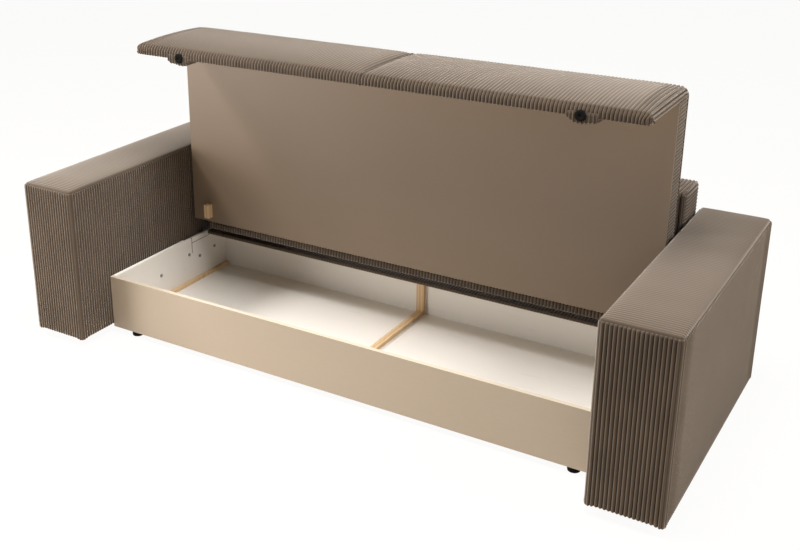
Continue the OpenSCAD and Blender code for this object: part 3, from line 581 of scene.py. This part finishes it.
# Backrest front pads: left and right, foam over the straps under cloth with upright ribs that turn
# over the upper edge and round the outer end, where the border is sewn on.
back_low, back_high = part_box("backrest_pad_right")
BACK_IN = 0.016                         # how far the cloth turns in at the top and at the end
BACK_CROWN = 0.003
INNER_X = 0.0008                        # of the edge at the middle of the backrest
back_y = back_low.y + 0.002
front_path = rounded([(back_low.y + 0.030, back_low.z + 0.003), (back_y, back_low.z),
                      (back_y, back_high.z), (back_low.y + BACK_IN + 0.002, back_high.z),
                      (back_low.y + BACK_IN + 0.002, back_high.z - 0.008)], [0.012, 0.014, 0.003], 0.03)
front_run = lengths(front_path)
front_normal = left_of(front_path, front_run)
pad_end = back_high.x - 0.0005
front_cut = across_whole_ribs(rounded([(INNER_X, -0.016), (INNER_X, 0), (pad_end, 0), (pad_end, -BACK_IN)],
                                      [0.009, 0.010], 0.004))
pad = np.zeros((len(front_path), len(front_cut), 3))
pad[..., 0] = front_cut[None, :, 0]
crown = BACK_CROWN * dome(share((front_path[:, 1] - back_low.z) / (back_high.z - back_low.z)), 4)
crown = crown * (front_path[:, 0] < back_low.y + 0.006)
wide = dome(front_cut[:, 0] / back_high.x, 6)
# at the upper corner the turn round the end is mitred
turn = (front_normal[:, 0] ** 2 * np.minimum(back_high.z - front_path[:, 1],
                                             front_path[:, 1] - back_low.z)
        + front_normal[:, 1] ** 2 * np.clip(front_path[:, 0] - back_low.y - 0.002, 0, BACK_IN))
turn = np.clip(turn, 0.001, BACK_IN)[:, None] / BACK_IN
turn = np.where(front_cut[None, :, 0] > back_high.x / 2, turn, 1)
out_by = front_cut[None, :, 1] * turn + crown[:, None] * wide[None]
pad[..., 1:] = front_path[:, None] + front_normal[:, None] * out_by[..., None]
relief = np.where(front_cut[None, :, 1] < -0.002, np.clip(turn * 1.6 - 0.6, 0.05, 1), 1)
relief = relief * np.clip((front_run[-1] - front_run - 0.010) / 0.010, 0.1, 1)[:, None]
for side, mirrored in SIDES:
    piece = lay_cloth(f"backrest_front_pad_{side}", pad, "base", relief, mirrored=mirrored)
    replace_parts(piece, f"backrest_pad_{side}")


# Backrest borders: a strip of cloth over foam along the top of the backrest and down its end,
# with its ribs from front to rear, sewn to the front pad and to the rear cover.
TOP_CROWN, BORDER_END_CROWN = 0.0015, 0.0050
border_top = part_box("backrest_top_pad_right")[1].z
border_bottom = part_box("backrest_end_cover_right")[0].z
rear_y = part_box("backrest_rear_cover")[1].y + 0.004
border_cut = across_whole_ribs(rounded([(INNER_X, border_top - 0.012), (INNER_X, border_top),
                                        (back_high.x, border_top), (back_high.x, border_bottom + 0.002)],
                                       [0.007, 0.014], 0.01))
border_out = left_of(border_cut)
border_in = back_low.y + BACK_IN + 0.0025
border_rows = rounded([(border_in, -0.009), (border_in, 0), (rear_y, 0), (rear_y, -0.013)],
                      [0.006, 0.012], 0.02)
swell = share(dome((border_rows[:, 0] - border_in) / (rear_y - border_in), 4))
swell = swell[:, None] * np.where(border_cut[None, :, 0] < back_high.x - 0.01, TOP_CROWN, BORDER_END_CROWN)
out_by = border_rows[:, None, 1] + swell
border = np.zeros((len(border_rows), len(border_cut), 3))
border[..., 0] = border_cut[None, :, 0] + border_out[None, :, 0] * out_by
border[..., 1] = border_rows[:, None, 0]
border[..., 2] = border_cut[None, :, 1] + border_out[None, :, 1] * out_by
relief = np.clip(1 + border_rows[:, 1:] / 0.006, 0.15, 1)
for side, mirrored in SIDES:
    piece = lay_cloth(f"backrest_border_{side}", border, "base", relief, mirrored=mirrored)
    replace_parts(piece, f"backrest_top_pad_{side}", f"backrest_end_cover_{side}")


# Backrest rear cover: one cut of the cloth with upright ribs, tacked to the lower rail and sewn
# to the borders along the top and at the ends.
rear_x = back_high.x - 0.012
rear_cut = np.linspace(rear_x, -rear_x, ribs_across(2 * rear_x))
# height, distance out from the rear face, share of the rib depth
rear_rows = np.array(((border_bottom - 0.0005, -0.012, 0.3), (border_bottom, -0.004, 0.8),
                      (border_bottom + 0.005, -0.0008, 1), (0.15, 0, 1), (0.3, 0, 1), (0.45, 0, 1),
                      (0.6, 0, 1), (border_top - 0.030, 0, 1), (border_top - 0.022, -0.0015, 0.9),
                      (border_top - 0.017, -0.006, 0.4)))
rear = np.zeros((len(rear_rows), len(rear_cut), 3))
rear[..., 0] = rear_cut
rear[..., 1] = rear_y + rear_rows[:, 1:2]
rear[..., 2] = rear_rows[:, :1]
piece = lay_cloth("backrest_rear_panel", rear, "base", rear_rows[:, 2:], depth=THIN_DEPTH)
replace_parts(piece, "backrest_rear_cover")


# Shelf cover: cloth glued over the shelf along the rear of the box and round its front edge, with
# the ribs from front to rear. The shelf closes the gap under the raised seat.
shelf_low, shelf_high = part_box("rear_shelf_cover")
shelf_y, shelf_bottom = shelf_low.y + 0.0005, shelf_low.z + 0.0002
shelf_rows = rounded([(shelf_low.y + 0.008, shelf_bottom), (shelf_y, shelf_bottom),
                      (shelf_y, shelf_high.z), (shelf_high.y - 0.001, shelf_high.z)],
                     [0.003, 0.004], 0.03, 4)
shelf_x = shelf_high.x - 0.001
shelf_cut = np.linspace(-shelf_x, shelf_x, ribs_across(2 * shelf_x))
shelf = np.zeros((len(shelf_rows), len(shelf_cut), 3))
shelf[..., 0] = shelf_cut[None]
shelf[..., 1:] = shelf_rows[:, None]
piece = lay_cloth("shelf_cover", shelf, "base", relief=0.35)
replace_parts(piece, "rear_shelf_cover")


# Apron foot blocks: timber blocks behind the lower edge of the apron that carry its feet, each
# covered with the same cloth, which sags to one side of the block.
BLOCK_DEEP, BLOCK_HIGH = 0.026, 0.062
BLOCK_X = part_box("apron_feet")[1].x - 0.018
block_path = rounded([(apron_in - 0.012, apron_z), (apron_in + BLOCK_DEEP, apron_z),
                      (apron_in + BLOCK_DEEP, apron_z + BLOCK_HIGH), (apron_in, apron_z + BLOCK_HIGH)],
                     [0.008, 0.008], 0.012, 6)
# along the block from one edge of the cloth to the other, and how far it stands off the apron
block_cut = across_whole_ribs(rounded([(-0.052, 0.0), (-0.028, 0.021), (0.0, 0.0255), (0.026, 0.0190),
                                       (0.052, 0.0190), (0.052, 0.0)], [0.010, 0.020, 0.020, 0.008], 0.004))
stand_off = block_cut[:, 1]
behind = block_path[:, None, 0] - apron_in
block = np.zeros((len(block_path), len(block_cut), 3))
block[..., 0] = BLOCK_X + block_cut[None, :, 0]
block[..., 1] = apron_in + behind * np.where(behind > 0, stand_off / BLOCK_DEEP, share(stand_off / 0.012))
block[..., 2] = block_path[:, None, 1]
relief = 0.7 * share(stand_off / 0.010) ** 2
for side, mirrored in SIDES:
    piece = lay_cloth(f"apron_foot_cover_{side}", raised(block), "seat", relief, mirrored=mirrored)
    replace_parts(piece, "apron_foot_blocks")


# Feet: turned discs of black moulded plastic with a screw in a hollow in the middle. Four stand
# under the arms, four under the box, and two flat ones sit on the lower edge of the apron.
FOOT_R = 0.021
BLACK, WORN_BLACK = (0.004, 0.004, 0.004), (0.009, 0.008, 0.008)
plastic, shader, s, links = new_finish("black_plastic")
skin = s.noise(s.places(), 1400.0, 1.0)
feed(shader, links, Base_Color=skin.blend(BLACK, WORN_BLACK), Roughness=0.6 + skin * 0.15,
     Specular_IOR_Level=0.05, Normal=s.bump(skin, 0.2, 0.0002))


def turned(name, profile, places, body, finish, slot, move=None):
    """A piece with one turned part at each place, from rings of the profile's radius and height.

    Its points are moved at the end where a function for that is given."""
    mesh = bmesh.new()
    for place in places:
        bmesh.ops.create_circle(mesh, segments=40, radius=profile[0][0], cap_ends=True)
        ring = [e for e in mesh.edges if len(e.link_faces) < 2]
        verts = list({v for e in ring for v in e.verts})
        bmesh.ops.translate(mesh, verts=verts, vec=(0, 0, profile[0][1]))
        made = verts
        for (r0, h0), (r, h) in zip(profile, profile[1:]):
            grown = bmesh.ops.extrude_edge_only(mesh, edges=ring)["geom"]
            ring = [g for g in grown if isinstance(g, bmesh.types.BMEdge) and g.is_boundary]
            verts = list({v for e in ring for v in e.verts})
            bmesh.ops.scale(mesh, verts=verts, vec=(r / r0, r / r0, 1))
            bmesh.ops.translate(mesh, verts=verts, vec=(0, 0, h - h0))
            made = made + verts
        bmesh.ops.edgeloop_fill(mesh, edges=ring)
        bmesh.ops.translate(mesh, verts=made, vec=place)
    bmesh.ops.recalc_face_normals(mesh, faces=mesh.faces)
    if move:
        for vertex in mesh.verts:
            vertex.co = move(np.array(vertex.co))
    for face in mesh.faces:
        face.smooth = len(face.verts) < 5
    return finished(name, mesh, finish, body)


for node in ("arm_feet", "box_feet"):
    foot_low, foot_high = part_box(node)
    h = foot_high.z
    corners = [(x, y, 0) for x in (foot_low.x + FOOT_R, foot_high.x - FOOT_R)
               for y in (foot_low.y + FOOT_R, foot_high.y - FOOT_R)]
    profile = [(0.004, 0.004), (0.006, 0.0006), (FOOT_R - 0.004, 0), (FOOT_R - 0.001, 0.001),
               (FOOT_R, 0.004), (FOOT_R, h - 0.006), (FOOT_R - 0.0015, h - 0.004), (FOOT_R - 0.0015, h)]
    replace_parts(turned(f"{node}_turned", profile, corners, "base", plastic, "black_plastic"), node)
foot_low, foot_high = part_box("apron_feet")
disc_r = (foot_high.z - foot_low.z) / 2
disc_y, disc_z = down_y((foot_low.z + foot_high.z) / 2), down_z(foot_low.y)
profile = [(0.003, 0.0035), (0.0045, 0.0004), (disc_r - 0.005, 0), (disc_r - 0.0015, 0.0008),
           (disc_r, 0.0026), (disc_r, foot_high.y - foot_low.y)]
discs = [(x, disc_y, disc_z) for x in (foot_low.x + disc_r, foot_high.x - disc_r)]
piece = turned("apron_feet_turned", profile, discs, "seat", plastic, "black_plastic", raised)
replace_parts(piece, "apron_feet")


# Storage box front: particle board with a plain beige melamine face, sawn square; its upward face
# along the top is painted paler, as a highlight. It is fixed to the front ends of the side panels.
PAINTED_HIGHLIGHT_DEPTH, PAINTED_HIGHLIGHT_FULL_DEPTH = 0.0008, 0.0006      # how deep the painted highlight reaches under the top, and the depth where it is full
DARK_BEIGE, PALE_BEIGE = (0.375, 0.308, 0.238), (0.428, 0.357, 0.282)
PAINTED_TOP_HIGHLIGHT = (0.55, 0.485, 0.395)


def paint(finish, *names):
    """Gives the CAD pieces of those names their finish."""
    for name in names:
        slots = frame["nodes"][name].data.materials
        slots.clear()
        slots.append(finish)


beige, shader, s, links = new_finish("beige_laminate")
front_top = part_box("box_front_panel")[1].z
# painted highlight: the top of the board, which faces up, is given a paler beige
painted_top_highlight_mask = s.place_along(2).between(front_top - PAINTED_HIGHLIGHT_DEPTH, front_top - PAINTED_HIGHLIGHT_FULL_DEPTH)
grain = s.noise(s.places((4, 4, 60)), 9.0, 3.0)
speck = s.noise(s.places(), 900.0, 1.0)
face = (grain * 0.5 + speck * 0.4).blend(DARK_BEIGE, PALE_BEIGE)
feed(shader, links, Base_Color=painted_top_highlight_mask.blend(face, PAINTED_TOP_HIGHLIGHT), Roughness=0.42 + speck * 0.12,
     Normal=s.bump(speck, 0.15, 0.0004))
paint(beige, "box_front_panel")


# Storage box inside: white melamine on the side, rear and floor boards, a little scuffed. A rail
# is let into the top of each side board at its rear, with a saw cut in front of it.
WHITE, SCUFFED, GAP_DARK = (0.79, 0.765, 0.725), (0.70, 0.67, 0.63), (0.10, 0.075, 0.05)
white, shader, s, links = new_finish("white_laminate")
pebble = s.noise(s.places(), 700.0)
scuff = s.noise(s.places((1, 6, 6)), 6.0, 4.0).between(0.62, 0.75)
x, y, z = (s.place_along(k) for k in range(3))
rail_low, rail_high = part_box("box_side_rails")
near_side = abs(x).between(rail_high.x - 0.020, rail_high.x - 0.018)
saw_cut = (1.0 - abs(y - (rail_low.y - 0.0006)).between(0.0010, 0.0020)) * z.between(0.164, 0.168)
joint = (1.0 - abs(z - rail_low.z).between(0.0008, 0.0018)) * y.between(rail_low.y - 0.002, rail_low.y)
face = (scuff * 0.35 + pebble * 0.25).blend(WHITE, SCUFFED)
feed(shader, links, Base_Color=((saw_cut + joint) * near_side).blend(face, GAP_DARK),
     Roughness=0.52 + pebble * 0.15, Specular_IOR_Level=0.3, Normal=s.bump(pebble, 0.12, 0.0004))
paint(white, "box_rear_panel", "box_side_panel_left", "box_side_panel_right", "box_side_rails",
      "box_floor_left", "box_floor_right")


# Battens, rails and blocks: planed pine, raw, with rings, a slow warp and fine fibres. They are
# nailed and glued to the boards of the box, the arms and the backrest, and to one another.
PINE_DARK, PINE_PALE = (0.50, 0.315, 0.155), (0.735, 0.545, 0.335)


def pine_finish(name, angles):
    """Planed pine, with its pattern turned by those angles."""
    material, shader, s, links = new_finish(name)
    where = s.places((1, 1, 0.08), angles)
    warp = s.noise(where, 14.0)
    rings = s.add("TexWave", {"Vector": where, "Scale": 22.0, "Distortion": 5.0, "Detail": 2.0,
                              "Detail Scale": 1.4}, wave_type="BANDS", bands_direction="X")
    fine = s.noise(s.places((1, 1, 0.02), angles), 420.0)
    wood = rings * 0.55 + warp * 0.25 + fine * 0.25
    feed(shader, links, Base_Color=wood.blend(PINE_DARK, PINE_PALE), Roughness=0.55 + fine * 0.2,
         Normal=s.bump(wood, 0.25, 0.0005))
    return material


paint(pine_finish("pine_along_x", (0, math.pi / 2, 0)), "arm_base_rails", "backrest_rails",
      "seat_frame_rails", "seat_corner_blocks")
paint(pine_finish("pine_along_y", (math.pi / 2, 0, 0)), "floor_batten_left", "floor_batten_center",
      "floor_batten_right")
paint(pine_finish("pine_along_z", (0, 0, 0)), "rear_upright_batten", "backrest_spacers",
      "seat_frame_battens", "seat_under_blocks")


# Boards inside the arms and the backrest, the shelf and the apron: raw chipboard, sawn and
# stapled. The board of the apron has its two lower corners cut round under the padding.
CHIP_DARK, CHIP_PALE = (0.42, 0.29, 0.16), (0.62, 0.46, 0.28)
BOARD_FREE_Y, BOARD_FREE_X = 0.003, 0.004   # kept free of the cloth in front and at each end
BOARD_CORNER_R = 0.022
chips, shader, s, links = new_finish("chipboard")
flake = s.add("TexVoronoi", {"Vector": s.places(), "Scale": 260.0}, out=1)
tone = s.add("SeparateColor", {0: flake}, out=0)
feed(shader, links, Base_Color=tone.blend(CHIP_DARK, CHIP_PALE), Roughness=0.75 + tone * 0.15,
     Normal=s.bump(tone, 0.3, 0.0006))
paint(chips, "arm_side_boards_left", "arm_side_boards_right", "arm_end_boards_left",
      "arm_end_boards_right", "arm_top_board_left", "arm_top_board_right", "rear_shelf_board",
      "backrest_ribs")
board_low, board_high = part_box("apron_board")
board_low.y += BOARD_FREE_Y
board = bmesh.new()
bmesh.ops.create_cube(board, size=1)
bmesh.ops.scale(board, verts=board.verts, vec=(
    2 * (board_high.x - BOARD_FREE_X), board_high.y - board_low.y, board_high.z - board_low.z))
bmesh.ops.translate(board, verts=board.verts, vec=(0, *((board_low + board_high) / 2)[1:]))
lower_corners = [e for e in board.edges if e.verts[0].co.xy == e.verts[1].co.xy and e.verts[0].co.y < 0]
bmesh.ops.bevel(board, geom=lower_corners, offset=BOARD_CORNER_R, segments=6, profile=0.5,
                affect="EDGES", material=-1)
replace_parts(finished("apron_board_cut", board, chips, "seat"), "apron_board")


# Seat board: a sheet of brown hardboard over the whole underside of the seat, smooth on its face
# and nailed to the seat frame.
HARD_DARK, HARD_PALE = (0.178, 0.129, 0.088), (0.216, 0.157, 0.109)
hardboard, shader, s, links = new_finish("hardboard")
fibre = s.noise(s.places((1, 1, 0.25)), 500.0, 3.0)
cloud = s.noise(s.places(), 2.2)
feed(shader, links, Base_Color=(cloud * 0.5 + fibre * 0.4).blend(HARD_DARK, HARD_PALE),
     Roughness=0.42 + fibre * 0.15, Normal=s.bump(fibre, 0.12, 0.0003))
paint(hardboard, "seat_board")


# Hinges, springs, screws and bolts: steel with a grey zinc coat. The hinge plates are stamped
# and screwed on, and the springs are bent from wire.
ZINC_DARK, ZINC_PALE = (0.20, 0.20, 0.205), (0.38, 0.375, 0.37)
zinc, shader, s, links = new_finish("zinc_steel")
spangle = s.noise(s.places(), 180.0, 3.0)
feed(shader, links, Base_Color=spangle.blend(ZINC_DARK, ZINC_PALE), Metallic=0.9,
     Roughness=0.34 + spangle * 0.2, Normal=s.bump(spangle, 0.1, 0.0003))
paint(zinc, "box_bolts", "hinge_base_plate_left", "hinge_base_plate_right", "hinge_washers",
      "hinge_pins", "seat_springs", "hinge_seat_plates", "hinge_screws")


# Backrest straps: elastic webbing woven of black rubber cores and dark yarn, stretched between
# the rails of the backrest and stapled to them.
RUBBER, YARN = (0.06, 0.055, 0.05), (0.16, 0.145, 0.13)
webbing, shader, s, links = new_finish("webbing")
weave = s.add("TexWave", {"Vector": s.places(), "Scale": 160.0, "Distortion": 0.4}, bands_direction="X")
feed(shader, links, Base_Color=weave.blend(RUBBER, YARN), Roughness=0.8,
     Normal=s.bump(weave, 0.4, 0.0006))
paint(webbing, "backrest_webbing")


# Studio: a pale floor and background, a key lamp high on the left, and soft lamps above, on the
# right and low in front. To the camera the floor and the background are nearly white.
FLOOR_HALF, FLOOR_DOWN = 14, 0.0005
FLOOR_COLOUR, FLOOR_GLOW, GLOW_SHARE = (0.80, 0.74, 0.66, 1), (1.0, 0.998, 0.99), 0.95
ROOM_LIGHT, ROOM_STRENGTH = (1.0, 0.90, 0.78), 0.09
BACKGROUND, BACKGROUND_STRENGTH = (1.0, 0.998, 0.992), 0.98
LAMP_COLOUR = (1, 0.97, 0.93)


def seen(s):
    """1 for a ray from the camera, a reflection or a ray let through, and 0 for soft light."""
    return (s.add("LightPath", out=0) + s.add("LightPath", out=3)
            + s.add("LightPath", out=6)).between(0, 1)


ground = bmesh.new()
bmesh.ops.create_grid(ground, x_segments=1, y_segments=1, size=FLOOR_HALF)
bmesh.ops.translate(ground, verts=ground.verts, vec=(0, 0, -FLOOR_DOWN))
floor_data = bpy.data.meshes.new("studio_floor")
ground.to_mesh(floor_data)
ground.free()
floor = bpy.data.objects.new("studio_floor", floor_data)
bpy.context.scene.collection.objects.link(floor)
pale, shader, s, links = new_finish("studio_floor")
feed(shader, links, Base_Color=FLOOR_COLOUR, Roughness=0.9)
tree = pale.node_tree
lit = Socket(tree, tree.nodes["Principled BSDF"].outputs[0])
glow = s.add("Emission", {0: FLOOR_GLOW, 1: 1.0})
mixed = s.add("MixShader", {0: seen(s) * GLOW_SHARE, 1: lit, 2: glow})
links.new(mixed.out, tree.nodes["Material Output"].inputs[0])
floor_data.materials.append(pale)

world = bpy.data.worlds.new("studio")
world.use_nodes = True
bpy.context.scene.world = world
s = Socket(world.node_tree)
light = s.add("Background", {0: ROOM_LIGHT, 1: ROOM_STRENGTH})
white_back = s.add("Background", {0: BACKGROUND, 1: BACKGROUND_STRENGTH})
mixed = s.add("MixShader", {0: seen(s), 1: light, 2: white_back})
world.node_tree.links.new(mixed.out, world.node_tree.nodes["World Output"].inputs[0])


def soft_lamp(name, place, aim, size, power):
    """A round lamp at a place, turned to where it aims, that the camera doesn't see."""
    lamp = bpy.data.lights.new(name, "AREA")
    lamp.shape, lamp.size, lamp.energy, lamp.color = "DISK", size, power, LAMP_COLOUR
    holder = bpy.data.objects.new(name, lamp)
    holder.visible_camera = False
    bpy.context.scene.collection.objects.link(holder)
    away = Vector(place) - Vector(aim)
    holder.matrix_world = Matrix.Translation(place) @ away.to_track_quat("Z", "Y").to_matrix().to_4x4()


soft_lamp("key_lamp", (-4.0, -1.7, 4.6), (0.0, 0.0, 0.5), 1.3, 235)
soft_lamp("top_lamp", (0.3, -0.8, 5.2), (0.0, 0.0, 0.4), 2.4, 300)
soft_lamp("right_lamp", (3.6, -0.1, 2.6), (0.7, 0.0, 0.5), 1.6, 95)
soft_lamp("front_lamp", (-2.1, -1.9, 0.9), (-0.9, 0.0, 0.3), 1.0, 37)
bpy.context.scene.view_settings.view_transform = "Standard"
